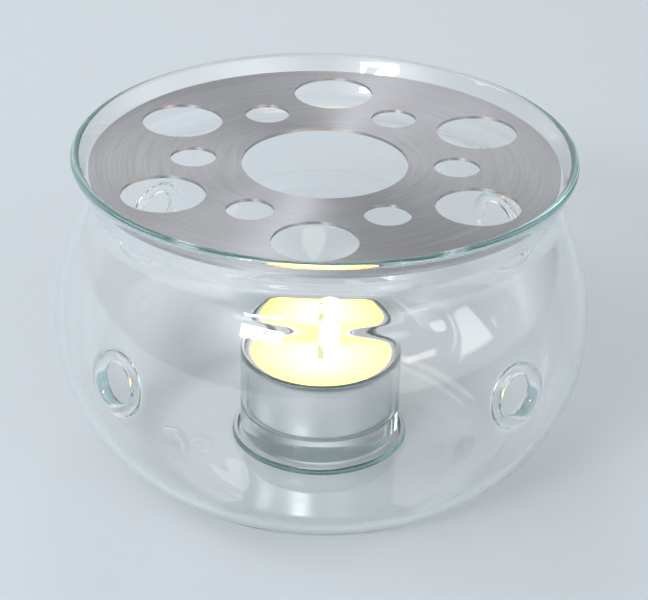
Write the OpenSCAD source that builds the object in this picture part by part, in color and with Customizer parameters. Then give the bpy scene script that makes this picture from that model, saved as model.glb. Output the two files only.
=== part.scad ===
// Glass warmer: a blown glass bowl with air holes, a loose perforated steel plate
// that carries a teapot, and a small glass cup that holds a tealight.
// Origin at the centre of the base, +Z up, millimetres.

/* [Glass bowl] */
// Largest outer diameter of the bowl
bowl_d = 140; // [136:0.5:144]
// Height of the widest point above the base
belly_z = 40; // [39:0.5:41]
// Radius of the outer wall curve below the widest point
lower_curve_r = 45.1; // [44.5:0.1:46]
// Radius of the outer wall curve above the widest point
upper_curve_r = 52.85; // [52:0.1:54]
// Radius of the curve that joins the wall to the flat foot
heel_r = 20.2; // [18:0.1:21]
// Glass thickness of the wall
wall_t = 2.3; // [2:0.1:2.6]
// Glass thickness of the floor
floor_t = 3.2; // [2.8:0.1:3.6]
// Depth of the hollow under the foot
punt_h = 0.9; // [0.3:0.1:1.2]

/* [Neck and rim] */
// Radius of the outer throat curve at the neck
throat_r = 7; // [6:0.5:10]
// Slope of the flared rim, from the vertical, in degrees
flare_angle = 25; // [22:0.5:27]
// Overall height of the bowl
rim_z = 87; // [86.5:0.5:88]

/* [Air holes] */
// Number of air holes round the belly
air_holes = 4; // [3:1:6]
// Diameter of each hole
air_hole_d = 10.8; // [9:0.2:12]
// Height of the hole centres above the base
air_hole_z = 44.5; // [43:0.5:46]
// Thickness of the fire-polished bead round each hole
air_bead_d = 3.4; // [3.2:0.1:3.8]

/* [Steel plate] */
// Diameter of the plate
plate_d = 120; // [119:0.5:120.5]
// Height of the plate's underside above the base
plate_z = 82.2; // [81.8:0.1:82.6]
// Sheet thickness
plate_t = 0.8; // [0.6:0.1:1]
// Diameter of the centre hole
centre_hole_d = 42.6; // [41:0.2:44]
// Number of large holes, and of small holes between them
hole_count = 6; // [4:1:8]
// Diameter of the large holes
large_hole_d = 21.2; // [19:0.2:22]
// Distance of the large holes from the centre
large_hole_pitch_r = 44.8; // [44:0.2:46]
// Diameter of the small holes
small_hole_d = 11.8; // [10:0.2:12]
// Distance of the small holes from the centre
small_hole_pitch_r = 33.6; // [33:0.2:35]
// How far the plate happens to be turned in the rim, in degrees
plate_turn = 13.5; // [0:0.5:60]

/* [Candle cup] */
// Outer diameter
cup_d = 42.8; // [42.4:0.1:43]
// Overall height
cup_h = 25.6; // [24:0.2:27]
// Side wall thickness
cup_wall_t = 1.6; // [1.5:0.1:1.7]
// Thickness of the heavy base
cup_base_t = 8; // [7:0.2:9]

/* [Tealight] */
// Diameter over the rolled rim of the tin
tin_d = 38.8; // [38:0.1:39]
// Height of the tin
tin_h = 16.6; // [15:0.2:17]
// Sheet thickness of the tin
tin_t = 0.3; // [0.25:0.05:0.35]
// Depth of the wax surface below the tin's rim
wax_drop = 1.2; // [1:0.1:3]
// Diameter of the wick
wick_d = 1.6; // [1.2:0.1:2]
// Direction in which the tip of the wick has curled over, in degrees
wick_turn = 45; // [0:5:355]

/* [Hidden] */
$fn = 96;

// Small fixed sizes
arc_step = 4;            // degrees between the points of a drawn arc
plate_gap = 0.3;         // clearance of the plate's edge from the flare
ring_gap = 0.5;          // clearance of the candle cup in its locating ring
ring_w = 1.5;            // width of the locating ring
ring_h = 1.4;            // height of the locating ring above the floor
heel_in_r = 17;          // radius of the inner curve between floor and wall
foot_w = 5;              // width of the flat foot round the hollow underside
tin_bead_r = 0.45;       // radius of the tin's rolled rim
tin_bead_out = 0.3;      // how far the rolled rim stands out from the tin's wall
wax_dish = 0.6;          // how far the wax is hollowed towards the wick
wick_free_h = 2.2;       // straight length of wick above the wax
wick_bend_r = 2.4;       // radius of the curl at the wick's tip
wick_bend_angle = 75;    // angle of the curl
wick_tip_d = 0.85 * wick_d; // the burnt curl is thinner than the wick
wick_root_angle = 6;     // how far the curl reaches down into the wick
holder_d = 13;           // diameter of the wick holder's foot
holder_t = 0.3;          // its sheet thickness
holder_neck_h = 5;       // height of its neck round the wick

// Curves of the bowl. Each one leaves the one before it without a corner: the
// heel lies inside the lower wall curve, on the floor and on the foot plane.
lower_c = [bowl_d / 2 - lower_curve_r, belly_z];
upper_c = [bowl_d / 2 - upper_curve_r, belly_z];
heel_c = heel_centre(heel_r, 0, 0);
heel_in_c = heel_centre(heel_in_r, floor_t, wall_t);

// The lip is a full round at the top of a straight flare, which clears the
// edge of the plate.
lip_r = wall_t / 2;
lip_z = rim_z - lip_r;
flare_in_r = plate_d / 2 + plate_gap / cos(flare_angle);
lip_c = [
    flare_in_r + (lip_z - plate_z) * tan(flare_angle) + lip_r / cos(flare_angle),
    lip_z
];

// The throat curve touches the flare's outer line and the upper wall curve. Its
// centre is the point on a line beside the flare, throat_r away, that lies
// upper_curve_r + throat_r from the upper curve's centre.
flare_dir = [sin(flare_angle), cos(flare_angle)];
flare_normal = [cos(flare_angle), -sin(flare_angle)];
beside_c = lip_c + (lip_r + throat_r) * flare_normal;
beside = beside_c - upper_c;
along = beside * flare_dir;
down = along - sqrt(pow(along, 2) - beside * beside + pow(upper_curve_r + throat_r, 2));
throat_c = beside_c - down * flare_dir;

// Air holes: the wall leans in by hole_tilt at their height.
hole_tilt = asin((air_hole_z - belly_z) / upper_curve_r);
hole_wall = on_circle(upper_c, upper_curve_r, hole_tilt);
air_bead_ring_r = (air_hole_d + air_bead_d) / 2;
air_bead_inset = wall_t / 2 + 0.45;

// Loose pieces, stacked on the floor
cup_z = floor_t;
tin_z = cup_z + cup_base_t;
tin_wall_r = tin_d / 2 - tin_bead_out;
tin_floor_z = tin_z + tin_t;
wax_r = tin_wall_r - tin_t;
wax_z = tin_z + tin_h - wax_drop;
wick_straight_h = wax_z + wick_free_h - tin_floor_z;

function on_circle(centre, r, angle) = centre + r * [cos(angle), sin(angle)];

function angle_between(from, to) = atan2(to[1] - from[1], to[0] - from[0]);

// Centre of a curve of radius r that rests on the height z and runs inside the
// lower wall curve, inset from the outer face
function heel_centre(r, z, inset) = [
    lower_c[0] + sqrt(pow(lower_curve_r - inset - r, 2) - pow(belly_z - z - r, 2)),
    z + r
];

// Points along an arc, without its first one
function arc(centre, r, from, to) =
    let (steps = max(4, ceil(abs(to - from) / arc_step)))
    [for (i = [1:steps]) on_circle(centre, r, from + (to - from) * i / steps)];

function reversed(points) = [for (i = [len(points) - 1:-1:0]) points[i]];

// One side of the wall, from the heel's lowest point to the end of the throat.
// inset is 0 on the outer side and the wall thickness on the inner side.
function wall_side(heel, r, inset) =
    let (heel_end = angle_between(lower_c, heel), throat = angle_between(upper_c, throat_c))
    concat(
        [[heel[0], heel[1] - r]],
        arc(heel, r, -90, heel_end),
        arc(lower_c, lower_curve_r - inset, heel_end, 0),
        arc(upper_c, upper_curve_r - inset, 0, throat),
        arc(throat_c, throat_r + inset, 180 + throat, 180 - flare_angle)
    );

// Hollow underside: a shallow arc from the axis to the flat foot
function punt(edge_r) =
    let (r = (pow(edge_r, 2) + pow(punt_h, 2)) / (2 * punt_h))
    concat([[0, punt_h]], arc([0, punt_h - r], r, 90, 90 - asin(edge_r / r)));

// Low rounded ring in the floor, from its outside to its inside
function floor_ring() =
    let (in_r = cup_d / 2 + ring_gap, top_r = ring_w / 2)
    concat(
        [[in_r + ring_w, floor_t], [in_r + ring_w, floor_t + ring_h - top_r]],
        arc([in_r + top_r, floor_t + ring_h - top_r], top_r, 0, 180),
        [[in_r, floor_t]]
    );

module bowl_profile() {
    polygon(concat(
        punt(heel_c[0] - foot_w),
        wall_side(heel_c, heel_r, 0),
        [on_circle(lip_c, lip_r, -flare_angle)],
        arc(lip_c, lip_r, -flare_angle, 180 - flare_angle),
        reversed(wall_side(heel_in_c, heel_in_r, wall_t)),
        floor_ring(),
        [[0, floor_t]]
    ));
}

// Puts its children on the outer wall at every air hole, with +Z out of the hole
module at_air_holes() {
    for (i = [0:air_holes - 1])
        rotate([0, 0, i * 360 / air_holes])
            translate([hole_wall[0], 0, hole_wall[1]])
                rotate([0, 90 - hole_tilt, 0])
                    children();
}

module air_bead() {
    translate([0, 0, -air_bead_inset])
        rotate_extrude()
            translate([air_bead_ring_r, 0])
                circle(d = air_bead_d, $fn = 48);
}

// The wall is cut back to the middle of each bead, so the bead alone forms the hole
module glass_body() {
    color("lightcyan", 0.35)
    union() {
        difference() {
            rotate_extrude() bowl_profile();
            at_air_holes()
                translate([0, 0, -3 * wall_t])
                    cylinder(r = air_bead_ring_r, h = 5 * wall_t);
        }
        at_air_holes() air_bead();
    }
}

// A ring of equal holes through the plate
module hole_ring(pitch_r, d, turn) {
    for (i = [0:hole_count - 1])
        rotate([0, 0, turn + i * 360 / hole_count])
            translate([pitch_r, 0, -1])
                cylinder(d = d, h = plate_t + 2);
}

module steel_plate() {
    color("silver")
    translate([0, 0, plate_z])
        difference() {
            cylinder(d = plate_d, h = plate_t, $fn = 180);
            translate([0, 0, -1]) cylinder(d = centre_hole_d, h = plate_t + 2);
            hole_ring(large_hole_pitch_r, large_hole_d, plate_turn);
            hole_ring(small_hole_pitch_r, small_hole_d, plate_turn + 180 / hole_count);
        }
}

module candle_cup() {
    r = cup_d / 2;
    in_r = r - cup_wall_t;
    foot_round = 3;
    floor_round = 1;
    lip = cup_wall_t / 2;
    color("lightcyan", 0.35)
    translate([0, 0, cup_z])
        rotate_extrude()
            polygon(concat(
                [[0, 0], [r - foot_round, 0]],
                arc([r - foot_round, foot_round], foot_round, -90, 0),
                [[r, cup_h - lip]],
                arc([r - lip, cup_h - lip], lip, 0, 180),
                [[in_r, cup_base_t + floor_round]],
                arc([in_r - floor_round, cup_base_t + floor_round], floor_round, 0, -90),
                [[0, cup_base_t]]
            ));
}

module tealight_tin() {
    r = tin_wall_r;
    corner = 1.2;
    bead_c = [tin_d / 2 - tin_bead_r, tin_h - tin_bead_r];
    color("gainsboro")
    translate([0, 0, tin_z])
        rotate_extrude()
            polygon(concat(
                [[0, 0], [r - corner, 0]],
                arc([r - corner, corner], corner, -90, 0),
                [[r, bead_c[1] - tin_bead_r * sin(70)]],
                arc(bead_c, tin_bead_r, -70, 180),
                [[r - tin_t, bead_c[1] - tin_bead_r]],
                [[r - tin_t, corner]],
                arc([r - corner, corner], corner - tin_t, 0, -90),
                [[0, tin_t]]
            ));
}

module wick_holder_solid() {
    translate([0, 0, tin_floor_z]) {
        cylinder(d = holder_d, h = holder_t);
        cylinder(d = wick_d + 0.8, h = holder_neck_h);
    }
}

module straight_wick() {
    translate([0, 0, tin_floor_z]) cylinder(d = wick_d, h = wick_straight_h);
}

module candle_wax() {
    corner = 1.2;
    dish_r = (pow(wax_r, 2) + pow(wax_dish, 2)) / (2 * wax_dish);
    color("ivory")
    difference() {
        rotate_extrude()
            polygon(concat(
                [[0, tin_floor_z], [tin_wall_r - corner, tin_floor_z]],
                arc([tin_wall_r - corner, tin_z + corner], corner - tin_t, -90, 0),
                [[wax_r, wax_z]],
                arc([0, wax_z - wax_dish + dish_r], dish_r, asin(wax_r / dish_r) - 90, -90)
            ));
        wick_holder_solid();
        straight_wick();
    }
}

module wick() {
    color("dimgray")
    union() {
        straight_wick();
        translate([0, 0, tin_floor_z + wick_straight_h])
            rotate([0, 0, wick_turn])
                translate([wick_bend_r, 0, 0])
                    rotate([90, 0, 0])
                        rotate([0, 0, 180 - wick_bend_angle])
                            rotate_extrude(angle = wick_bend_angle + wick_root_angle)
                                translate([wick_bend_r, 0]) circle(d = wick_tip_d);
    }
}

module wick_holder() {
    color("darkgray")
    difference() {
        wick_holder_solid();
        straight_wick();
    }
}

glass_body();
steel_plate();
candle_cup();
tealight_tin();
candle_wax();
wick();
wick_holder();
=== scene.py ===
"""Dresses the glass warmer: blown bowl, steel plate, candle cup and lit tealight.

Sizes are written in millimetres, as a glass or tin drawing gives them, and turned
to metres where a mesh is made. +Z is up and the origin is the middle of the base.
"""

import logging
import math
from dataclasses import dataclass
from enum import Enum
from typing import Any, Optional, Union

import bpy
import numpy as np
from mathutils import Matrix, Vector


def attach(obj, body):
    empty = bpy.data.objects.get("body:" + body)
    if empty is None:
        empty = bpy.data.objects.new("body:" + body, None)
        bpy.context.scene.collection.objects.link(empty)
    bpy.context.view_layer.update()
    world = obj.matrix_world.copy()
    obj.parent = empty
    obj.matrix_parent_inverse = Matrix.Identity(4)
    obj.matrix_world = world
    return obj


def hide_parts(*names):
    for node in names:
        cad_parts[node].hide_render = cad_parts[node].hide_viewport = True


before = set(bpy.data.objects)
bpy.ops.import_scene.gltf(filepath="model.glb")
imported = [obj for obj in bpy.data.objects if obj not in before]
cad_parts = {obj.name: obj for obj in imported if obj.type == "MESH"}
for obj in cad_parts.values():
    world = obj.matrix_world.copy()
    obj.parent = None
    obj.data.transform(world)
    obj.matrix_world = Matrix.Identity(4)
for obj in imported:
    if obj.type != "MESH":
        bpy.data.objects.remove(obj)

MM = 0.001  # metres
IMAGE_WIDTH_PX = 648
SENSOR_MM = 36.0
ROUND_STEPS = 256  # points round a large glass or metal piece
ARC_STEPS = 6  # points on the smallest arc
GLASS_BOUNCES = 24  # faces of glass that a ray can meet on its way
AIR_GAP = 0.06  # millimetres of air between faces that rest on each other
INNER_FACE = "inner_face"  # mesh attribute, 1 on the bowl's inner side
TUBE_SHARE = 0.5  # lit share of a lamp that is made of tubes
CLEAR = "#FFFFFF"

log = logging.getLogger("warmer")
Material = bpy.types.Material
Socket = bpy.types.NodeSocket
Link = Union[Socket, float, tuple]
Point = Union[np.ndarray, tuple[float, float]]  # radius and height


class Body(str, Enum):
    """Moving bodies of the frame that carry new pieces."""

    BOWL = "bowl"
    CUP = "cup"
    TEALIGHT = "tealight"


class Slot(str, Enum):
    """Material slots of the record, named beside the new pieces."""

    BOROSILICATE = "borosilicate_glass"
    CUP_GLASS = "cup_glass"
    ALUMINIUM = "aluminium_sheet"
    WAX = "paraffin_wax"
    COTTON = "cotton_wick"


def linear(hex_code: str, alpha: float = 1.0) -> tuple[float, float, float, float]:
    """Turns an sRGB hex colour to linear light.

    Args:
        hex_code: Six hex digits, with or without a leading #.
        alpha: Fourth value of the result.

    Returns:
        Linear red, green, blue and alpha, each 0 to 1.
    """
    digits = hex_code.lstrip("#")
    channels = [int(digits[i : i + 2], 16) / 255 for i in (0, 2, 4)]
    rgb = [c / 12.92 if c <= 0.04045 else ((c + 0.055) / 1.055) ** 2.4 for c in channels]
    return (*rgb, alpha)


def bearing(heading: float, elevation: float) -> Vector:
    """Unit vector at a heading round Z and an elevation, both in degrees."""
    turn, lift = math.radians(heading), math.radians(elevation)
    return Vector(
        (math.cos(turn) * math.cos(lift), math.sin(turn) * math.cos(lift), math.sin(lift))
    )


class Graph:
    """Node tree in the making, of a material or of the room's light."""

    def __init__(self, tree: bpy.types.NodeTree) -> None:
        """Empties the tree.

        Args:
            tree: Node tree that gets the nodes.
        """
        self.tree = tree
        tree.nodes.clear()

    def add(
        self, kind: str, inputs: Optional[dict[Union[str, int], Link]] = None, **settings: Any
    ) -> bpy.types.Node:
        """Adds one node, with its settings, and its inputs set or linked.

        Args:
            kind: Type name without its first part, such as Math for ShaderNodeMath.
            inputs: Socket name or number to a value, or to the output it is linked to.
            **settings: Properties of the node itself.

        Returns:
            The new node.
        """
        node = self.tree.nodes.new("ShaderNode" + kind)
        for key, value in settings.items():
            setattr(node, key, value)
        for key, value in (inputs or {}).items():
            if isinstance(value, Socket):
                self.tree.links.new(value, node.inputs[key])
            else:
                node.inputs[key].default_value = value
        return node

    def math(self, operation: str, *values: Link) -> Socket:
        """Adds a Math node and returns its output.

        Args:
            operation: Name of the operation, such as ADD.
            *values: The operation's inputs in order.
        """
        return self.add("Math", dict(enumerate(values)), operation=operation).outputs[0]

    def vector(self, operation: str, *values: Link) -> Socket:
        """Adds a Vector Math node and returns the output that its operation fills.

        Args:
            operation: Name of the operation, such as LENGTH.
            *values: The operation's inputs in order.
        """
        node = self.add("VectorMath", dict(enumerate(values)), operation=operation)
        return node.outputs["Value" if operation in ("LENGTH", "DOT_PRODUCT") else "Vector"]

    def remap(
        self,
        value: Link,
        given: tuple[float, float],
        wanted: tuple[float, float],
        easing: str = "LINEAR",
    ) -> Socket:
        """Adds a Map Range node and returns its output.

        Args:
            value: Value to map.
            given: Its lowest and highest figure.
            wanted: What those two become.
            easing: LINEAR, or SMOOTHSTEP to ease in and out.
        """
        ends = ("From Min", "From Max", "To Min", "To Max")
        inputs = {"Value": value, **dict(zip(ends, (*given, *wanted)))}
        return self.add("MapRange", inputs, interpolation_type=easing).outputs[0]

    def ramp(self, value: Link, *stops: tuple[float, str]) -> Socket:
        """Adds a colour ramp between two stops and returns its colour.

        Args:
            value: Place on the ramp, 0 to 1.
            *stops: Position and hex colour of each of the two stops.
        """
        node = self.add("ValToRGB", {0: value})
        for element, (position, colour) in zip(node.color_ramp.elements, stops):
            element.position = position
            element.color = linear(colour)
        return node.outputs["Color"]

    def place(self) -> Socket:
        """Place on the piece in its own axes, in metres."""
        return self.add("TexCoord").outputs["Object"]

    def flat_place(self) -> Socket:
        """Place on the piece with its height left out: a line from the axis."""
        split = self.add("SeparateXYZ", {0: self.place()}).outputs
        return self.add("CombineXYZ", {0: split["X"], 1: split["Y"]}).outputs[0]

    def grain(self, where: Link, size_mm: float, octaves: float = 2.0) -> Socket:
        """Adds noise and returns its value.

        Args:
            where: Place in metres.
            size_mm: Size of the coarsest grain.
            octaves: How many finer grains lie on it.
        """
        inputs = {"Vector": where, "Scale": 1 / (size_mm * MM), "Detail": octaves}
        return self.add("TexNoise", inputs).outputs["Fac"]

    def bump(self, height: Link, depth_mm: float, strength: float = 1.0) -> Socket:
        """Adds a bump and returns the face's new direction.

        Args:
            height: Height of the relief, as a share of its depth.
            depth_mm: Depth that a height of 1 stands for.
            strength: Share of the relief that shows.
        """
        inputs = {"Height": height, "Strength": strength, "Distance": depth_mm * MM}
        return self.add("Bump", inputs).outputs["Normal"]

    def mix(self, share: Link, first: Socket, second: Socket) -> Socket:
        """Adds a mix of two shaders and returns it; share is that of the second one."""
        return self.add("MixShader", {0: share, 1: first, 2: second}).outputs[0]

    def principled(self, colour: Link, roughness: Link, more: dict[str, Link]) -> Socket:
        """Adds a Principled shader and returns it.

        Args:
            colour: Base colour.
            roughness: Roughness, 0 to 1.
            more: Any other inputs by name.
        """
        inputs = {"Base Color": colour, "Roughness": roughness, **more}
        return self.add("BsdfPrincipled", inputs).outputs[0]


# ---------------------------------------------------------------- finishes


@dataclass(frozen=True)
class Finish:
    """Base of the finishes: a shader on the surface, and at times one in the depth."""

    name: str

    def surface(self, graph: Graph) -> Socket:
        """Adds the surface's shader and returns it."""
        raise NotImplementedError

    def depth(self, graph: Graph) -> Optional[Socket]:
        """Adds the shader of what lies under the surface, if there is any, and returns it."""
        return None

    def build(self) -> Material:
        """Builds the material and returns it."""
        material = bpy.data.materials.new(self.name)
        material.use_nodes = True
        graph = Graph(material.node_tree)
        shaders = {"Surface": self.surface(graph), "Volume": self.depth(graph)}
        graph.add("OutputMaterial", {side: s for side, s in shaders.items() if s is not None})
        return material


@dataclass(frozen=True)
class Relief:
    """Stretch over which the inner face leaves the even wall, in millimetres.

    Its height changes by rise between the heights start and end, eased at both ends,
    and keeps that change above. A positive rise stands into the bowl.
    """

    start: float
    end: float
    rise: float


@dataclass(frozen=True)
class Glass(Finish):
    """Clear glass: bent light, faint green in long paths, slight ripples from the forming.

    A lamp's ray passes it unbent, because the tracer sends no bent light to what
    stands behind. A ray from a matt surface takes the same straight way, so that no
    light is counted twice. Each face then takes what it mirrors off:
    m + (1 - m) f^5, with m the share mirrored at right angles and f how far the ray
    grazes the face. A ray that is mirrored on and on inside the wall leaves it after
    a while, dimmed, as it does at the flaws of a real wall.

    The inner face's relief gives the drawn neck its lens. It is shading alone: no
    surface moves. It is full near one heading and fades out to both sides.
    """

    ior: float = 1.473
    tint: str = "#A6EEE8"
    tint_density: float = 3.0
    mirrored: float = 0.04
    grazing_power: float = 5.0
    leak_after: float = 9.0
    leak_tint: str = "#A7C0BE"
    ripple_mm: float = 26.0
    ripple_depth: float = 0.02
    inner_relief: tuple[Relief, ...] = ()
    relief_heading: float = -44.1
    relief_full: float = 6.0
    relief_fade: float = 24.0

    def inner_height(self, graph: Graph) -> Socket:
        """Height of the inner face's relief in millimetres.

        A face met from behind sees its relief turned over, so the sign follows it.
        """
        up = graph.add("SeparateXYZ", {0: graph.place()}).outputs["Z"]
        total: Link = 0.0
        for stretch in self.inner_relief:
            ends = (stretch.start * MM, stretch.end * MM)
            step = graph.remap(up, ends, (0.0, stretch.rise), "SMOOTHSTEP")
            total = graph.math("ADD", step, total)
        heading = graph.vector("NORMALIZE", graph.flat_place())
        middle = tuple(bearing(self.relief_heading, 0.0))
        along = graph.vector("DOT_PRODUCT", heading, middle)
        fade, full = (math.cos(math.radians(a)) for a in (self.relief_fade, self.relief_full))
        sector = graph.remap(along, (fade, full), (0.0, 1.0), "SMOOTHSTEP")
        behind = graph.add("NewGeometry").outputs["Backfacing"]
        side = graph.math("MULTIPLY_ADD", behind, -2.0, 1.0)
        inner = graph.add("Attribute", attribute_name=INNER_FACE).outputs["Fac"]
        signed = graph.math("MULTIPLY", side, inner)
        return graph.math("MULTIPLY", graph.math("MULTIPLY", total, sector), signed)

    def lamp_way(self, graph: Graph) -> Socket:
        """Adds the shader for a lamp's straight ray and returns it."""
        facing = graph.add("LayerWeight", {"Blend": 0.5}).outputs["Facing"]
        power = graph.math("POWER", facing, self.grazing_power)
        passed = graph.math("MULTIPLY_ADD", power, self.mirrored - 1, 1 - self.mirrored)
        return graph.add("BsdfTransparent", {"Color": passed}).outputs[0]

    def bent_light(self, graph: Graph, ior: float, tint: str) -> Socket:
        """Adds the shader of the rippled glass face and returns it.

        Args:
            graph: Node tree that gets the shader.
            ior: Refractive index.
            tint: Colour that each crossing gives to light.
        """
        ripple = graph.grain(graph.place(), self.ripple_mm, octaves=1.0)
        inner = self.inner_height(graph) if self.inner_relief else 0.0
        height = graph.math("MULTIPLY_ADD", ripple, self.ripple_depth, inner)
        more = {"IOR": ior, "Transmission Weight": 1.0, "Normal": graph.bump(height, 1.0)}
        return graph.principled(linear(tint), 0.0, more)

    def surface(self, graph: Graph) -> Socket:
        """Adds the surface's shader and returns it."""
        rays = graph.add("LightPath").outputs
        leaks = graph.math("GREATER_THAN", rays["Ray Depth"], self.leak_after)
        leak = self.bent_light(graph, 1.0, self.leak_tint)
        wall = graph.mix(leaks, self.bent_light(graph, self.ior, CLEAR), leak)
        straight = self.lamp_way(graph)
        wall = graph.mix(rays["Is Diffuse Ray"], wall, straight)
        return graph.mix(rays["Is Shadow Ray"], wall, straight)

    def depth(self, graph: Graph) -> Socket:
        """Adds the tint of the glass's depth and returns it."""
        inputs = {"Color": linear(self.tint), "Density": self.tint_density}
        return graph.add("VolumeAbsorption", inputs).outputs[0]


@dataclass(frozen=True)
class BrushedStainless(Finish):
    """Stainless sheet brushed on a turntable: fine rings, light fanned out across them.

    Real brushing is finer than a pixel at this distance. The rings are drawn a few
    times coarser, so that they show and don't flicker.
    """

    name: str = "brushed stainless steel"
    dark: str = "#A6A7AC"
    light: str = "#B5B6BB"
    roughness: float = 0.4
    roughness_swing: float = 0.025
    anisotropy: float = 0.9
    quarter_turn: float = 0.25
    groove_mm: float = 0.22
    groove_depth: float = 0.0012
    shade_ring_mm: float = 0.35
    broad_ring_mm: float = 1.2
    arc_changes: float = 2.5
    noise_span: tuple[float, float] = (0.3, 0.7)

    def rings(self, graph: Graph, pitch_mm: float, octaves: float = 3.0) -> Socket:
        """Noise that changes fast with the radius and slowly round the plate.

        Args:
            graph: Node tree that gets the nodes.
            pitch_mm: Width of the coarsest ring.
            octaves: How many finer rings lie on it.
        """
        flat = graph.flat_place()
        across = graph.math("MULTIPLY", graph.vector("LENGTH", flat), 1 / (pitch_mm * MM))
        turn = graph.add("SeparateXYZ", {0: graph.vector("NORMALIZE", flat)}).outputs
        along = [graph.math("MULTIPLY", turn[axis], self.arc_changes) for axis in "XY"]
        where = graph.add("CombineXYZ", {0: across, 1: along[0], 2: along[1]}).outputs[0]
        inputs = {"Vector": where, "Scale": 1.0, "Detail": octaves}
        return graph.add("TexNoise", inputs).outputs["Fac"]

    def surface(self, graph: Graph) -> Socket:
        """Adds the surface's shader and returns it."""
        mean, swing = self.roughness, self.roughness_swing
        broad = self.rings(graph, self.broad_ring_mm, octaves=2.0)
        shade = self.rings(graph, self.shade_ring_mm)
        grooves = self.rings(graph, self.groove_mm)
        low, high = self.noise_span
        tangent = graph.add("Tangent", direction_type="RADIAL", axis="Z")
        return graph.principled(
            graph.ramp(shade, (low, self.dark), (high, self.light)),
            graph.remap(broad, self.noise_span, (mean - swing, mean + swing)),
            {
                "Metallic": 1.0,
                "Anisotropic": self.anisotropy,
                "Anisotropic Rotation": self.quarter_turn,
                "Tangent": tangent.outputs["Tangent"],
                "Normal": graph.bump(grooves, self.groove_depth),
            },
        )


@dataclass(frozen=True)
class Sheet(Finish):
    """Thin drawn sheet metal: semi-bright, with faint draw lines along its height."""

    colour: str = "#F0F0F2"
    roughness: float = 0.3
    line_mm: float = 0.8
    line_depth: float = 0.01
    line_stretch: float = 0.12

    def surface(self, graph: Graph) -> Socket:
        """Adds the surface's shader and returns it."""
        inputs = {"Vector": graph.place(), "Scale": (1.0, 1.0, self.line_stretch)}
        drawn = graph.add("Mapping", inputs).outputs[0]
        lines = graph.bump(graph.grain(drawn, self.line_mm), self.line_depth)
        more = {"Metallic": 1.0, "Normal": lines}
        return graph.principled(linear(self.colour), self.roughness, more)


@dataclass(frozen=True)
class Paraffin(Finish):
    """Paraffin wax round a burning wick: molten and wet. The flame's light on it is painted in as
    the wax's own glow.

    Candlelight is far stronger in red and green than in blue. The pool therefore
    looks pale yellow where it is seen straight, and deep yellow in the bowl's wall,
    which mirrors only a small share of it. From the wick outwards the painted glow
    goes from core_glow to rim_glow with the root of the radius.
    """

    name: str = "paraffin wax"
    colour: str = "#B8AE70"
    # painted light: the flame's light on the pool, given as emission from the wick outwards
    core_glow: tuple[float, float, float] = (7.0, 6.0, 1.6)
    rim_glow: tuple[float, float, float] = (4.0, 1.9, 0.22)
    pool_r_mm: float = 18.8
    fading: float = 0.5
    roughness: float = 0.12
    ior: float = 1.43

    def surface(self, graph: Graph) -> Socket:
        """Adds the surface's shader and returns it."""
        radius = graph.vector("LENGTH", graph.flat_place())
        share = graph.math("DIVIDE", radius, self.pool_r_mm * MM)
        faded = graph.math("POWER", share, self.fading)
        ends = {4: self.core_glow, 5: self.rim_glow}  # A and B of the vector mix
        glow = graph.add("Mix", {0: faded, **ends}, data_type="VECTOR").outputs[1]
        # the painted glow of the flame's light goes in as the wax's emission
        more = {"IOR": self.ior, "Emission Color": glow, "Emission Strength": 1.0}
        return graph.principled(linear(self.colour), self.roughness, more)


@dataclass(frozen=True)
class BurntCotton(Finish):
    """Braided cotton wick: charred and soaked with wax. The flame's light through it is painted on
    as a glow.
    """

    name: str = "burnt cotton"
    char: str = "#3A3A24"
    # painted light: the flame's light through the wick, given as emission
    glow: str = "#EDF0BC"
    glow_strength: float = 0.85
    roughness: float = 0.9
    braid_mm: float = 0.5
    braid_depth: float = 0.2
    braid_strength: float = 0.6

    def surface(self, graph: Graph) -> Socket:
        """Adds the surface's shader and returns it."""
        braid = graph.grain(graph.place(), self.braid_mm)
        more = {
            "Normal": graph.bump(braid, self.braid_depth, self.braid_strength),
            "Emission Color": linear(self.glow),
            "Emission Strength": self.glow_strength,
        }
        return graph.principled(linear(self.char), self.roughness, more)


@dataclass(frozen=True)
class FlameGlow(Finish):
    """Candle flame: white hot inside, yellow where its edge is seen through."""

    name: str = "candle flame"
    core: str = "#FFF3DA"
    edge: str = "#FFB64A"
    glow: float = 1.9
    edge_blend: float = 0.35
    core_share: float = 0.3
    thinning: tuple[float, float] = (0.25, 0.9)

    def surface(self, graph: Graph) -> Socket:
        """Adds the surface's shader and returns it."""
        facing = graph.add("LayerWeight", {"Blend": self.edge_blend}).outputs["Facing"]
        colour = graph.ramp(facing, (self.core_share, self.core), (1.0, self.edge))
        fire = graph.add("Emission", {"Color": colour, "Strength": self.glow}).outputs[0]
        clear = graph.add("BsdfTransparent").outputs[0]
        return graph.mix(graph.remap(facing, self.thinning, (0.0, 1.0)), fire, clear)


@dataclass(frozen=True)
class Laminate(Finish):
    """Matt laminate of the table."""

    name: str = "matt white laminate"
    colour: str = "#D1DAE1"
    roughness: float = 0.6

    def surface(self, graph: Graph) -> Socket:
        """Adds the surface's shader and returns it."""
        return graph.principled(linear(self.colour), self.roughness, {})


# ------------------------------------------------------------------ meshes


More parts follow.
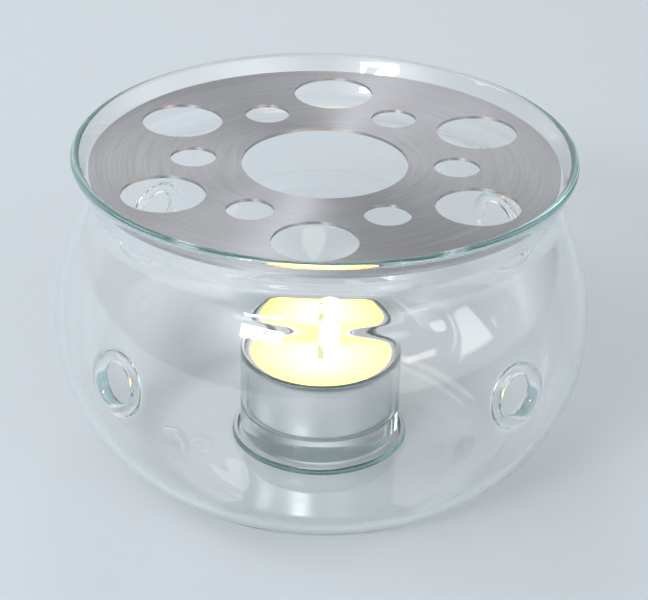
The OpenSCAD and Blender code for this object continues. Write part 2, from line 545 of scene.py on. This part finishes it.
@dataclass
class Skin:
    """A mesh in the making: points in millimetres, with four- and three-cornered faces.

    inner, where it is given, holds 1 for each point on the inner side and else 0.
    """

    points: np.ndarray
    quads: np.ndarray
    triangles: np.ndarray
    inner: Optional[np.ndarray] = None

    def piece(self, name: str, finish: Material) -> bpy.types.Object:
        """Turns the skin to a smooth-shaded object at the origin.

        Args:
            name: Name of the object and its mesh.
            finish: Material of all its faces.

        Returns:
            The object, linked to the scene.
        """
        corners = chain(self.quads.ravel(), self.triangles.ravel())
        used, slots = np.unique(corners, return_inverse=True)
        quads = slots[: self.quads.size].reshape(-1, 4)
        triangles = slots[self.quads.size :].reshape(-1, 3)
        mesh = bpy.data.meshes.new(name)
        places = (self.points[used] * MM).tolist()
        mesh.from_pydata(places, [], quads.tolist() + triangles.tolist(), shade_flat=False)
        mesh.validate()
        if self.inner is not None:
            mark = mesh.attributes.new(INNER_FACE, "FLOAT", "POINT")
            mark.data.foreach_set("value", self.inner[used].astype(np.float32))
        mesh.materials.append(finish)
        obj = bpy.data.objects.new(name, mesh)
        bpy.context.scene.collection.objects.link(obj)
        return obj


def arc(
    centre: Point, radius: float, start: float, end: float, spacing: float = 1.2
) -> np.ndarray:
    """Points along an arc, without its first one.

    Each point is the centre plus the radius times (cosine, sine) of an angle that
    runs evenly from start to end.

    Args:
        centre: Radius and height of the centre.
        radius: Radius of the arc.
        start: First angle in degrees.
        end: Last angle in degrees.
        spacing: Largest distance between two points.

    Returns:
        Points as rows of radius and height.
    """
    length = abs(math.radians(end - start)) * radius
    steps = max(ARC_STEPS, math.ceil(length / spacing))
    angles = np.radians(np.linspace(start, end, steps + 1)[1:])
    return centre + radius * np.stack([np.cos(angles), np.sin(angles)], axis=1)


def line(start: Point, end: Point, steps: int) -> np.ndarray:
    """Evenly spaced points on a straight stretch, without its first one.

    Args:
        start: Radius and height of the first end.
        end: Radius and height of the last end.
        steps: Number of points.

    Returns:
        Points as rows of radius and height.
    """
    return np.linspace(start, end, steps + 1)[1:]


def chain(*stretches: Any) -> np.ndarray:
    """Joins stretches of rows end to end."""
    return np.concatenate(stretches)


def quads_between(rows: int, columns: int) -> np.ndarray:
    """Faces of a grid whose columns close round, as a rows by columns by 4 array.

    Args:
        rows: Number of rings of points.
        columns: Points in each ring.

    Returns:
        Corner numbers, one face for each gap between rings and each column.
    """
    row, column = np.meshgrid(np.arange(rows - 1), np.arange(columns), indexing="ij")
    after = (column + 1) % columns
    low, high = row * columns, (row + 1) * columns
    return np.stack([low + column, low + after, high + after, high + column], axis=2)


def end_fans(rows: int, columns: int) -> np.ndarray:
    """Three-cornered faces that close a grid's first and last ring.

    Each fan meets in one point. The two points are numbered after the grid's own.

    Args:
        rows: Number of rings of points.
        columns: Points in each ring.

    Returns:
        Corner numbers of both fans.
    """
    here = np.arange(columns)
    after = (here + 1) % columns
    top, count = (rows - 1) * columns, rows * columns
    return chain(
        np.stack([after, here, np.full(columns, count)], axis=1),
        np.stack([top + here, top + after, np.full(columns, count + 1)], axis=1),
    )


def revolve(profile: np.ndarray, steps: int = ROUND_STEPS) -> Skin:
    """Turns a profile round the Z axis.

    A point at radius r and height z becomes (r cos t, r sin t, z) for evenly spaced
    t. The profile's two ends lie on the axis and close the skin with fans. It runs
    anticlockwise seen with the radius to the right, so the faces point outwards.

    Args:
        profile: Rows of radius and height, on the axis at both ends.
        steps: Points round the axis.

    Returns:
        The closed skin.
    """
    turn = 2 * np.pi * np.arange(steps) / steps
    body = profile[1:-1]
    radius, height = body[:, :1], body[:, 1:]
    rings = np.stack(
        [radius * np.cos(turn), radius * np.sin(turn), height + 0 * turn], axis=2
    ).reshape(-1, 3)
    poles = np.array([[0, 0, profile[0, 1]], [0, 0, profile[-1, 1]]])
    quads = quads_between(len(body), steps).reshape(-1, 4)
    return Skin(np.concatenate([rings, poles]), quads, end_fans(len(body), steps))


def tube(path: np.ndarray, radii: np.ndarray, sides: int = 16) -> Skin:
    """Carries a circle along a path that lies in one upright plane.

    Each ring is the path's point plus its radius times (cosine of the sideways
    direction, sine of the direction that stands square on the path in its plane).

    Args:
        path: Points of the centreline.
        radii: Radius at each point.
        sides: Points round each ring.

    Returns:
        The tube, closed with a fan at each end.
    """
    along = np.gradient(path, axis=0)
    along /= np.linalg.norm(along, axis=1, keepdims=True)
    chord = path[-1] - path[0]
    side = np.cross([0, 0, 1], [chord[0], chord[1], 0])
    side /= np.linalg.norm(side)
    square = np.cross(along, side)
    turn = 2 * np.pi * np.arange(sides) / sides
    rings = path[:, None] + radii[:, None, None] * (
        np.cos(turn)[None, :, None] * side + np.sin(turn)[None, :, None] * square[:, None]
    )
    quads = quads_between(len(path), sides).reshape(-1, 4)
    points = chain(rings.reshape(-1, 3), path[:1], path[-1:])
    return Skin(points, quads, end_fans(len(path), sides))


def settle(piece: bpy.types.Object, body: Body, slot: Slot, *replaces: str) -> None:
    """Puts a finished piece on its body and hides the CAD nodes that it stands for.

    Args:
        piece: The finished object.
        body: Body it moves with.
        slot: Record slot of its finish. Not used.
        *replaces: CAD nodes it stands for.
    """
    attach(piece, body.value)
    if replaces:
        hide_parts(*replaces)
    log.info("piece %s: %d faces", piece.name, len(piece.data.polygons))


def give_finish(node: str, finish: Material) -> None:
    """Gives a carried CAD node its finish; its shape stays.

    Args:
        node: Name of the node.
        finish: Material of all its faces.
    """
    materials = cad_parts[node].data.materials
    materials.clear()
    materials.append(finish)
    log.info("node %s dressed", node)


# ------------------------------------------------------------ sub-assemblies


@dataclass
class Bowl:
    """Blown glass bowl with a flared rim, air holes with fire-polished beads, and a floor ring."""

    diameter: float = 140.0
    belly_z: float = 40.0
    lower_curve_r: float = 45.1
    upper_curve_r: float = 52.85
    heel_r: float = 20.2
    heel_in_r: float = 17.0
    wall_t: float = 2.3
    floor_t: float = 3.2
    punt_h: float = 0.9
    foot_w: float = 5.0
    throat_r: float = 7.0
    flare_angle: float = 25.0
    rim_z: float = 87.0
    plate_r: float = 60.0
    plate_z: float = 82.2
    plate_gap: float = 0.3
    ring_in_r: float = 21.9
    ring_w: float = 1.5
    ring_h: float = 1.4
    air_holes: int = 4
    air_hole_z: float = 44.5
    air_bead_ring_r: float = 7.1
    air_bead_r: float = 1.7
    ring_fillet_r: float = 0.4
    bead_blend: tuple[tuple[float, float], ...] = (
        (0.75, 11.6), (0.5, 11.0), (0.28, 10.4), (0.1, 9.9)
    )
    fillet_from: tuple[float, float] = (9.5, 8.9)
    fillet_reach: float = 0.45
    bead_meet_angle: float = 58.0
    fillet_rows: int = 7
    bead_rows: int = 14
    patch_cells: int = 14
    patch_w: float = 24.0

    def __post_init__(self) -> None:
        """Works out the centres of the bowl's curves, as the construction does."""
        self.lower_c = np.array([self.diameter / 2 - self.lower_curve_r, self.belly_z])
        self.upper_c = np.array([self.diameter / 2 - self.upper_curve_r, self.belly_z])
        self.heel_c = self.heel_centre(self.heel_r, 0.0, 0.0)
        self.heel_in_c = self.heel_centre(self.heel_in_r, self.floor_t, self.wall_t)
        lip_r = self.wall_t / 2
        flare = math.radians(self.flare_angle)
        lip_z = self.rim_z - lip_r
        seat_r = self.plate_r + self.plate_gap / math.cos(flare)
        lip_x = seat_r + (lip_z - self.plate_z) * math.tan(flare) + lip_r / math.cos(flare)
        self.lip_c = np.array([lip_x, lip_z])
        up = np.array([math.sin(flare), math.cos(flare)])
        self.out = np.array([math.cos(flare), -math.sin(flare)])
        beside = self.lip_c + (lip_r + self.throat_r) * self.out
        reach = beside - self.upper_c
        along = reach @ up
        down = along - math.sqrt(
            along**2 - reach @ reach + (self.upper_curve_r + self.throat_r) ** 2
        )
        self.throat_c = beside - down * up
        self.throat_angle = self.angle_from(self.upper_c, self.throat_c)
        self.mid_lower_r = self.lower_curve_r - self.wall_t / 2
        self.mid_upper_r = self.upper_curve_r - self.wall_t / 2
        tilt = math.asin((self.air_hole_z - self.belly_z) / self.upper_curve_r)
        self.hole_s = tilt * self.mid_upper_r

    def heel_centre(self, radius: float, floor_z: float, inset: float) -> np.ndarray:
        """Centre of a curve that rests on floor_z and lies inside the lower wall curve."""
        rise = self.belly_z - floor_z - radius
        run = math.sqrt((self.lower_curve_r - inset - radius) ** 2 - rise**2)
        return np.array([self.lower_c[0] + run, floor_z + radius])

    @staticmethod
    def angle_from(start: np.ndarray, end: np.ndarray) -> float:
        """Angle in degrees of the line from start to end."""
        return math.degrees(math.atan2(end[1] - start[1], end[0] - start[0]))

    def patch_rows(self) -> np.ndarray:
        """Distances along the wall, from the belly, of the grid rows beside an air hole."""
        steps = np.arange(self.patch_cells + 1)
        return self.hole_s - self.patch_w / 2 + steps * self.patch_w / self.patch_cells

    def wall(self, distance: np.ndarray, turn: np.ndarray, depth: np.ndarray) -> np.ndarray:
        """Points of the wall.

        distance runs up the wall's middle from the belly, turn round the axis, and
        depth is the height over the middle, positive outwards. The point lies depth
        further than the middle radius from its curve's centre.

        Args:
            distance: Millimetres along the middle of the wall, negative below the belly.
            turn: Angle round the axis.
            depth: Millimetres outwards from the middle.

        Returns:
            Points in space.
        """
        low = distance < 0
        middle = np.where(low, self.mid_lower_r, self.mid_upper_r)
        centre = np.where(low, self.lower_c[0], self.upper_c[0])
        angle = distance / middle
        radius = centre + (middle + depth) * np.cos(angle)
        height = self.belly_z + (middle + depth) * np.sin(angle)
        return np.stack([radius * np.cos(turn), radius * np.sin(turn), height], axis=-1)

    def side(self, heel: np.ndarray, heel_r: float, inset: float) -> tuple[np.ndarray, int]:
        """One side of the wall, from the heel's lowest point to the end of the throat.

        Args:
            heel: Centre of the heel curve.
            heel_r: Radius of the heel curve.
            inset: 0 on the outer side, the wall's thickness on the inner one.

        Returns:
            The points, and the number of the first row beside the air holes.
        """
        heel_end = self.angle_from(self.lower_c, heel)
        rows = self.patch_rows()
        middle = np.where(rows < 0, self.mid_lower_r, self.mid_upper_r)
        angles = np.degrees(rows / middle)
        low_r = self.lower_curve_r - inset
        high_r = self.upper_curve_r - inset
        below = chain(
            arc(heel, heel_r, -90, heel_end),
            arc(self.lower_c, low_r, heel_end, angles[0])[:-1],
        )
        flat = self.wall(rows, np.zeros_like(rows), np.full_like(rows, self.wall_t / 2 - inset))
        beside = flat[:, [0, 2]]
        above = chain(
            arc(self.upper_c, high_r, angles[-1], self.throat_angle),
            arc(
                self.throat_c,
                self.throat_r + inset,
                180 + self.throat_angle,
                180 - self.flare_angle,
                spacing=0.7,
            ),
        )
        return np.concatenate([below, beside, above]), len(below)

    def profile(self) -> tuple[np.ndarray, int, int]:
        """Cross-section from the middle of the underside round to the middle of the floor.

        Returns:
            The points, and the rows of the lowest patch row outside and inside.
        """
        foot_r = self.heel_c[0] - self.foot_w
        punt_r = (foot_r**2 + self.punt_h**2) / (2 * self.punt_h)
        punt_end = 90 - math.degrees(math.asin(foot_r / punt_r))
        underside = chain(
            [[0, self.punt_h]],
            arc((0, self.punt_h - punt_r), punt_r, 90, punt_end, 3.0),
            line((foot_r, 0), (self.heel_c[0], 0), 4),
        )
        outer, outer_row = self.side(self.heel_c, self.heel_r, 0.0)
        inner, inner_row = self.side(self.heel_in_c, self.heel_in_r, self.wall_t)
        lip_r = self.wall_t / 2
        lip_start, lip_end = self.lip_c + lip_r * self.out, self.lip_c - lip_r * self.out
        lip = chain(
            line(outer[-1], lip_start, 5),
            arc(self.lip_c, lip_r, -self.flare_angle, 180 - self.flare_angle, 0.25),
            line(lip_end, inner[-1], 5)[:-1],
        )
        top_r = self.ring_w / 2
        ring_z = self.floor_t + self.ring_h - top_r
        fillet = self.ring_fillet_r
        beside = (self.ring_in_r + self.ring_w + fillet, self.floor_t + fillet)
        within = (self.ring_in_r - fillet, self.floor_t + fillet)
        floor = chain(
            line((self.heel_in_c[0], self.floor_t), (beside[0], self.floor_t), 8),
            arc(beside, fillet, 270, 180, 0.15),
            arc((self.ring_in_r + top_r, ring_z), top_r, 0, 180, 0.2),
            arc(within, fillet, 0, -90, 0.15),
            line((within[0], self.floor_t), (0, self.floor_t), 8),
        )
        before = len(underside) + len(outer) + len(lip)
        self.lip_row = before - len(lip) // 2
        points = chain(underside, outer, lip, inner[::-1], floor)
        return points, len(underside) + outer_row, before + len(inner) - 1 - inner_row

    def bead_section(self) -> np.ndarray:
        """Half of the lip round an air hole, from the wall's outer face to its middle.

        A square-to-round blend, then a cubic curve that leaves the wall and meets the
        bead, then the bead's circle down to the middle of the wall.

        Returns:
            Rows of squareness, radius from the hole's middle, height over the wall's middle.
        """
        half = self.wall_t / 2
        ring_r, bead_r = self.air_bead_ring_r, self.air_bead_r
        blend = np.column_stack([self.bead_blend, np.full(len(self.bead_blend), half)])
        meet = math.radians(self.bead_meet_angle)
        end = np.array([ring_r + bead_r * math.cos(meet), bead_r * math.sin(meet)])
        leave = end + self.fillet_reach * np.array([math.sin(meet), -math.cos(meet)])
        controls = [np.array([r, half]) for r in self.fillet_from] + [leave, end]
        t = np.linspace(0, 1, self.fillet_rows)[:, None]
        weights = [(1 - t) ** 3, 3 * t * (1 - t) ** 2, 3 * t**2 * (1 - t), t**3]
        fillet = sum(w * c for w, c in zip(weights, controls))
        turn = np.linspace(meet, np.pi, self.bead_rows)[1:]
        bead = np.column_stack([ring_r + bead_r * np.cos(turn), bead_r * np.sin(turn)])
        round_part = chain(fillet, bead)
        return np.concatenate(
            [blend, np.column_stack([np.zeros(len(round_part)), round_part])]
        )

    def patch(
        self,
        turn: float,
        outer_edge: np.ndarray,
        inner_edge: np.ndarray,
        start: int,
        edge: np.ndarray,
    ) -> tuple[np.ndarray, np.ndarray]:
        """Rings that run from the outer grid over an air hole's lip to the inner grid.

        Args:
            turn: Angle of the hole round the axis.
            outer_edge: Numbers of the outer grid points round the patch.
            inner_edge: Numbers of the inner grid points round the patch.
            start: Number that the patch's first own point gets.
            edge: Sideways and upwards distance of the edge points from the hole's middle.

        Returns:
            The patch's own points, and its faces.
        """
        half = self.bead_section()
        section = chain(half, half[-2::-1] * [1, 1, -1])
        reach = np.linalg.norm(edge, axis=1)
        heading = edge / reach[:, None]
        share = section[:, :1]
        distance = share * reach + (1 - share) * section[:, 1:2]
        side = distance * heading[:, 0]
        up = self.hole_s + distance * heading[:, 1]
        height = section[:, 2:] + 0 * side
        across = side / (self.upper_c[0] + self.mid_upper_r * np.cos(up / self.mid_upper_r))
        points = self.wall(up, turn + across, height).reshape(-1, 3)
        spokes = len(edge)
        own = start + np.arange(len(points)).reshape(-1, spokes)
        here = chain(outer_edge[None], own, inner_edge[None])
        after = np.roll(here, -1, axis=1)
        faces = np.stack([here[:-1], after[:-1], after[1:], here[1:]], axis=2)
        return points, faces.reshape(-1, 4)

    def skin(self) -> Skin:
        """The whole bowl as one closed skin, with the air holes opened and lipped."""
        profile, outer_row, inner_row = self.profile()
        base = revolve(profile)
        rows = len(profile) - 2
        quads = base.quads.reshape(rows - 1, ROUND_STEPS, 4)
        keep = np.ones(quads.shape[:2], bool)
        cells = self.patch_cells
        outer_row, inner_row = outer_row - 1, inner_row - 1
        steps = np.arange(cells)
        columns = chain(steps, np.full(cells, cells), cells - steps, 0 * steps)
        levels = np.roll(columns, cells)
        points, faces = [base.points], [base.quads[:0]]
        count = len(base.points)
        pitch = 2 * np.pi / ROUND_STEPS
        for hole in range(self.air_holes):
            middle = hole * ROUND_STEPS // self.air_holes
            around = (middle - cells // 2 + columns) % ROUND_STEPS
            outer_edge = (outer_row + levels) * ROUND_STEPS + around
            inner_edge = (inner_row - levels) * ROUND_STEPS + around
            up = self.patch_rows()[levels]
            level_r = np.linalg.norm(self.wall(up, 0 * up, 0 * up)[:, :2], axis=1)
            edge = np.column_stack(
                [(columns - cells / 2) * pitch * level_r, up - self.hole_s]
            )
            window = (middle - cells // 2 + steps) % ROUND_STEPS
            for first in (outer_row, inner_row - cells):
                keep[np.ix_(first + steps, window)] = False
            own, lip = self.patch(middle * pitch, outer_edge, inner_edge, count, edge)
            points.append(own)
            faces.append(lip)
            count += len(own)
        faces.append(quads[keep])
        inner = np.zeros(count)
        ring = np.arange(rows) + 1
        inner[: rows * ROUND_STEPS] = np.repeat(ring > self.lip_row, ROUND_STEPS)
        return Skin(np.concatenate(points), np.concatenate(faces), base.triangles, inner)

    def dress(self, glass: Material) -> None:
        """Builds the bowl and puts it on its body."""
        bowl = self.skin().piece("blown_bowl", glass)
        settle(bowl, Body.BOWL, Slot.BOROSILICATE, "glass_body")


@dataclass
class PotPlate:
    """Loose steel plate that the pot stands on. The CAD shape stays."""

    def dress(self, steel: Material) -> None:
        """Gives the plate its brushed finish."""
        give_finish("steel_plate", steel)


@dataclass
class CandleCup:
    """Thick-based glass cup that holds the tealight."""

    floor_z: float = 3.2
    radius: float = 21.4
    height: float = 25.6
    wall_t: float = 1.6
    base_t: float = 8.0
    foot_round: float = 3.0
    floor_round: float = 1.0

    def profile(self) -> np.ndarray:
        """Cross-section from the middle of the foot round to the middle of the inner floor."""
        lip = self.wall_t / 2
        inner = self.radius - self.wall_t
        foot = self.radius - self.foot_round
        floor = inner - self.floor_round
        corner = (floor, self.base_t + self.floor_round)
        section = chain(
            [[0, 0]],
            line((0, 0), (foot, 0), 8),
            arc((foot, self.foot_round), self.foot_round, -90, 0, 0.4),
            line((self.radius, self.foot_round), (self.radius, self.height - lip), 12),
            arc((self.radius - lip, self.height - lip), lip, 0, 180, 0.2),
            line((inner, self.height - lip), (inner, self.base_t + self.floor_round), 10),
            arc(corner, self.floor_round, 0, -90, 0.2),
            line((floor, self.base_t), (0, self.base_t), 8),
        )
        return section + [0, self.floor_z + AIR_GAP]

    def dress(self, glass: Material) -> None:
        """Builds the cup and puts it on its body."""
        cup = revolve(self.profile()).piece("cup", glass)
        settle(cup, Body.CUP, Slot.CUP_GLASS, "candle_cup")


@dataclass
class Tealight:
    """Standard tealight: drawn tin, wax, curled wick and its metal foot."""

    floor_z: float = 11.2
    tin_r: float = 19.1
    tin_h: float = 16.6
    tin_t: float = 0.3
    rim_bead_r: float = 0.45
    rim_r: float = 19.4
    corner_r: float = 1.2
    wax_drop: float = 1.2
    wax_dish: float = 0.6
    wick_r: float = 0.8
    wick_free_h: float = 2.2
    wick_bend_r: float = 2.4
    wick_bend_angle: float = 75.0
    wick_turn: float = 45.0
    wick_rings: int = 12
    wick_taper: float = 0.6
    wax_edge_climb: float = 0.5
    wax_climb_width: float = 0.8
    tin_hem_start: float = -70.0
    dish_rows: int = 30
    wax_round_steps: int = 128

    def tin_profile(self) -> np.ndarray:
        """Cross-section of the tin with its rolled rim."""
        r, bead = self.tin_r, self.rim_bead_r
        corner = (r - self.corner_r, self.corner_r)
        rim = (self.rim_r - bead, self.tin_h - bead)
        hem = math.radians(self.tin_hem_start)
        section = chain(
            [[0, 0]],
            line((0, 0), (corner[0], 0), 6),
            arc(corner, self.corner_r, -90, 0, 0.3),
            line((r, self.corner_r), (r, rim[1] + bead * math.sin(hem)), 10),
            arc(rim, bead, self.tin_hem_start, 180, 0.12),
            line((r - self.tin_t, rim[1] - bead), (r - self.tin_t, self.corner_r), 10),
            arc(corner, self.corner_r - self.tin_t, 0, -90, 0.3),
            line((corner[0], self.tin_t), (0, self.tin_t), 6),
        )
        return section + [0, self.floor_z + 2 * AIR_GAP]

    def wax_profile(self) -> np.ndarray:
        """Cross-section of the wax: a shallow dish that climbs the tin at its edge.

        At share s of the radius r the dish is d (1 - s^2) deep, and the molten wax
        climbs the tin by c exp(-(1 - s) r / w).
        """
        r = self.tin_r - self.tin_t
        top = self.tin_h - self.wax_drop
        bottom = self.tin_t
        share = np.linspace(1, 0, self.dish_rows)[1:]
        climb = self.wax_edge_climb * np.exp(-(1 - share) * r / self.wax_climb_width)
        dish = top - self.wax_dish * (1 - share**2) + climb - self.wax_edge_climb
        section = chain(
            [[0, bottom]],
            line((0, bottom), (r - 1, bottom), 4),
            line((r - 1, bottom), (r, bottom + 1), 2),
            line((r, bottom + 1), (r, top), 6),
            np.column_stack([share * r, dish]),
        )
        return section + [0, self.floor_z]

    def wick_path(self) -> np.ndarray:
        """Centreline of the wick: straight up, then a curl to one side."""
        foot = self.floor_z + self.tin_t
        top = self.floor_z + self.tin_h - self.wax_drop + self.wick_free_h
        rise = np.linspace(foot, top, self.wick_rings)
        straight = np.column_stack([0 * rise, 0 * rise, rise])
        angle = np.radians(np.linspace(180, 180 - self.wick_bend_angle, self.wick_rings))[1:]
        out = self.wick_bend_r * (1 + np.cos(angle))
        turn = math.radians(self.wick_turn)
        curl = np.column_stack(
            [out * math.cos(turn), out * math.sin(turn), top + self.wick_bend_r * np.sin(angle)]
        )
        return chain(straight, curl)

    def dress(
        self,
        aluminium: Material,
        paraffin: Material,
        cotton: Material,
        tinplate: Material,
    ) -> None:
        """Builds tin, wax and wick, and gives the wick's foot its finish."""
        tin = revolve(self.tin_profile()).piece("tin", aluminium)
        settle(tin, Body.TEALIGHT, Slot.ALUMINIUM, "tealight_tin")
        wax = revolve(self.wax_profile(), self.wax_round_steps).piece("wax", paraffin)
        # the wax's painted glow gives no light to the matt faces round it
        wax.visible_diffuse = False
        settle(wax, Body.TEALIGHT, Slot.WAX, "candle_wax")
        path = self.wick_path()
        last = len(path) - 1
        taper = np.interp(np.arange(last + 1), [0, self.wick_rings, last], [1, 1, self.wick_taper])
        wick = tube(path, self.wick_r * taper).piece("wick_cord", cotton)
        settle(wick, Body.TEALIGHT, Slot.COTTON, "wick")
        give_finish("wick_holder", tinplate)


@dataclass
class Flame:
    """Candle flame: a teardrop of light over the wick's curled tip."""

    foot_z: float = 27.6
    height: float = 21.5
    radius: float = 3.0
    belly: float = 0.3
    shift: float = 2.2
    turn: float = 45.0
    rows: int = 40
    round_steps: int = 48

    def dress(self, fire: Material) -> None:
        """Builds the flame and puts it on the tealight.

        The radius at share s of the height is the largest radius times
        s^b (1 - s)^(1 - b), scaled to 1 at its widest, with b the belly's share.
        """
        share = np.linspace(0, 1, self.rows)
        swell = share**self.belly * (1 - share) ** (1 - self.belly)
        profile = np.column_stack(
            [self.radius * swell / swell.max(), self.foot_z + self.height * share]
        )
        column = revolve(profile, self.round_steps)
        column.points += self.shift * np.array(bearing(self.turn, 0.0))
        flame = column.piece("flame", fire)
        flame.visible_diffuse = False
        flame.visible_shadow = False
        settle(flame, Body.TEALIGHT, Slot.WAX)


# ------------------------------------------------------------------- studio


@dataclass(frozen=True)
class Lamp:
    """Oblong soft lamp, whole or of parallel tubes, that looks at a point on the object.

    azimuth is in degrees from the camera's side, positive to the right, elevation in
    degrees over the table, and distance, width and height in metres.
    """

    name: str
    azimuth: float
    elevation: float
    distance: float
    width: float
    height: float
    watts: float
    colour: str = CLEAR
    tubes: int = 1

    def place(self, away: Vector, target: Vector) -> None:
        """Puts the lamp up.

        Args:
            away: Unit vector from the target to the lamp.
            target: Point that the lamp looks at.
        """
        light = bpy.data.lights.new(self.name, "AREA")
        light.shape = "RECTANGLE"
        light.size = self.width
        pitch = self.height / self.tubes
        light.size_y = pitch * (TUBE_SHARE if self.tubes > 1 else 1.0)
        light.energy = self.watts / self.tubes
        light.color = linear(self.colour)[:3]
        turn = away.to_track_quat("Z", "Y")
        for i in range(self.tubes):
            obj = bpy.data.objects.new(f"{self.name}_{i + 1}", light)
            rise = pitch * (i + 0.5) - self.height / 2
            obj.location = target + away * self.distance + turn @ Vector((0, rise, 0))
            obj.rotation_euler = turn.to_euler()
            bpy.context.scene.collection.objects.link(obj)


@dataclass
class Viewpoint:
    """Camera in front of the bowl, looking down at its plate."""

    facing: float = -44.1
    elevation: float = 24.834
    distance: float = 567.49
    target_z: float = 83.0
    tilt_down: float = 3.552
    pan: float = 0.057
    roll: float = 1.295
    focal_px: float = 2224.98
    nearest_m: float = 0.01

    @staticmethod
    def turned(first: Vector, second: Vector, degrees: float) -> tuple[Vector, Vector]:
        """Turns two directions in their own plane, the first one towards the second."""
        cos, sin = math.cos(math.radians(degrees)), math.sin(math.radians(degrees))
        return first * cos + second * sin, second * cos - first * sin

    def make(self) -> None:
        """Makes the scene's camera.

        It first looks at the middle of the plate's top, is then turned down and
        sideways, and last rolled about its own line of sight.
        """
        away = bearing(self.facing, self.elevation)
        place = Vector((0, 0, self.target_z)) * MM + away * self.distance * MM
        look = -away
        right = look.cross(Vector((0, 0, 1))).normalized()
        up = right.cross(look)
        look, up = self.turned(look, up, -self.tilt_down)
        look, right = self.turned(look, right, self.pan)
        right, up = self.turned(right, up, self.roll)
        data = bpy.data.cameras.new("camera")
        data.sensor_width = SENSOR_MM
        data.lens = self.focal_px / IMAGE_WIDTH_PX * SENSOR_MM
        data.clip_start = self.nearest_m
        camera = bpy.data.objects.new("camera", data)
        axes = Matrix((right, up, -look)).transposed().to_4x4()
        camera.matrix_world = Matrix.Translation(place) @ axes
        bpy.context.scene.collection.objects.link(camera)
        bpy.context.scene.camera = camera


@dataclass(frozen=True)
class Glow:
    """Soft bright part of the room round the table.

    The directions are degrees from the camera's side, positive to the right, and
    degrees over the table. Radiance falls off with the angle as exp(k (cos a - 1)),
    where 1 / k is the square of the spread.
    """

    azimuth: float
    elevation: float
    spread: float
    radiance: float


@dataclass
class Studio:
    """Pale table in a room with soft bright walls, and crisp lamps."""

    facing: float
    room_colour: str = CLEAR
    table_half_m: float = 1.5
    aim_z: float = 40.0
    glows: tuple[Glow, ...] = (
        Glow(-30, 30, 13, 3.3),
        Glow(-45, 55, 14, 2.3),
        Glow(30, 30, 13, 1.45),
        Glow(45, 8, 16, 2.4),
        Glow(90, 8, 16, 1.5),
        Glow(120, 30, 13, 0.67),
        Glow(-120, 30, 13, 0.15),
        Glow(-135, 8, 16, 0.83),
        Glow(180, 8, 16, 0.7),
        Glow(180, 30, 13, 0.95),
    )

    def table(self) -> None:
        """Lays the table, a plain pale sheet."""
        half = self.table_half_m / MM
        points = np.array(
            [[-half, -half, 0], [half, -half, 0], [half, half, 0], [-half, half, 0]]
        ) - [0, 0, AIR_GAP]
        no_triangles = np.zeros((0, 3), int)
        skin = Skin(points, np.array([[0, 1, 2, 3]]), no_triangles)
        skin.piece("table", Laminate().build())

    def room(self) -> None:
        """Sets the light of the room: the sum of its glows."""
        world = bpy.data.worlds.new("room")
        world.use_nodes = True
        graph = Graph(world.node_tree)
        place = graph.add("TexCoord").outputs["Generated"]
        total: Link = 0.0
        for glow in self.glows:
            sharpness = 1 / math.radians(glow.spread) ** 2
            middle = tuple(bearing(self.facing + glow.azimuth, glow.elevation))
            nearness = graph.vector("DOT_PRODUCT", place, middle)
            power = graph.math("MULTIPLY_ADD", nearness, sharpness, -sharpness)
            falloff = graph.math("EXPONENT", power)
            total = graph.math("MULTIPLY_ADD", falloff, glow.radiance, total)
        inputs = {"Color": linear(self.room_colour), "Strength": total}
        walls = graph.add("Background", inputs).outputs[0]
        graph.add("OutputWorld", {"Surface": walls})
        bpy.context.scene.world = world

    def lamps(self) -> None:
        """Puts up the crisp lamps."""
        target = Vector((0, 0, self.aim_z)) * MM
        for lamp in (
            Lamp("ceiling_strip", -27.0, 29.5, 2.0, 0.60, 0.24, 12.0, tubes=5),
            Lamp("left_window", -92.0, 36.0, 1.4, 0.60, 0.60, 4.2),
            Lamp("back_window", -173.0, 50.0, 0.8, 0.14, 0.40, 0.35),
            Lamp("right_tube", 41.0, 15.0, 0.9, 0.22, 0.05, 0.12),
        ):
            lamp.place(bearing(self.facing + lamp.azimuth, lamp.elevation), target)


def main() -> None:
    """Builds camera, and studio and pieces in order."""
    logging.basicConfig(level=logging.INFO, format="%(message)s")
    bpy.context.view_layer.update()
    scene = bpy.context.scene
    scene.view_settings.view_transform = "Standard"
    for limit in (
        "max_bounces", "transmission_bounces", "glossy_bounces", "transparent_max_bounces"
    ):
        setattr(scene.cycles, limit, GLASS_BOUNCES)
    view = Viewpoint()
    view.make()
    studio = Studio(view.facing)
    studio.table()
    studio.room()
    studio.lamps()
    drawn_neck = (Relief(64.0, 68.0, 0.3), Relief(67.5, 76.5, -2.3), Relief(76.5, 80.5, 2.0))
    Bowl().dress(Glass("blown borosilicate glass", inner_relief=drawn_neck).build())
    PotPlate().dress(BrushedStainless().build())
    CandleCup().dress(
        Glass("pressed soda-lime glass", ior=1.52, tint="#9FB8BC", tint_density=20.0).build()
    )
    Tealight().dress(
        Sheet("drawn aluminium sheet").build(),
        Paraffin().build(),
        BurntCotton().build(),
        Sheet("tinplate", "#C4C4C2", 0.35).build(),
    )
    Flame().dress(FlameGlow().build())


if __name__ == "__main__":
    main()
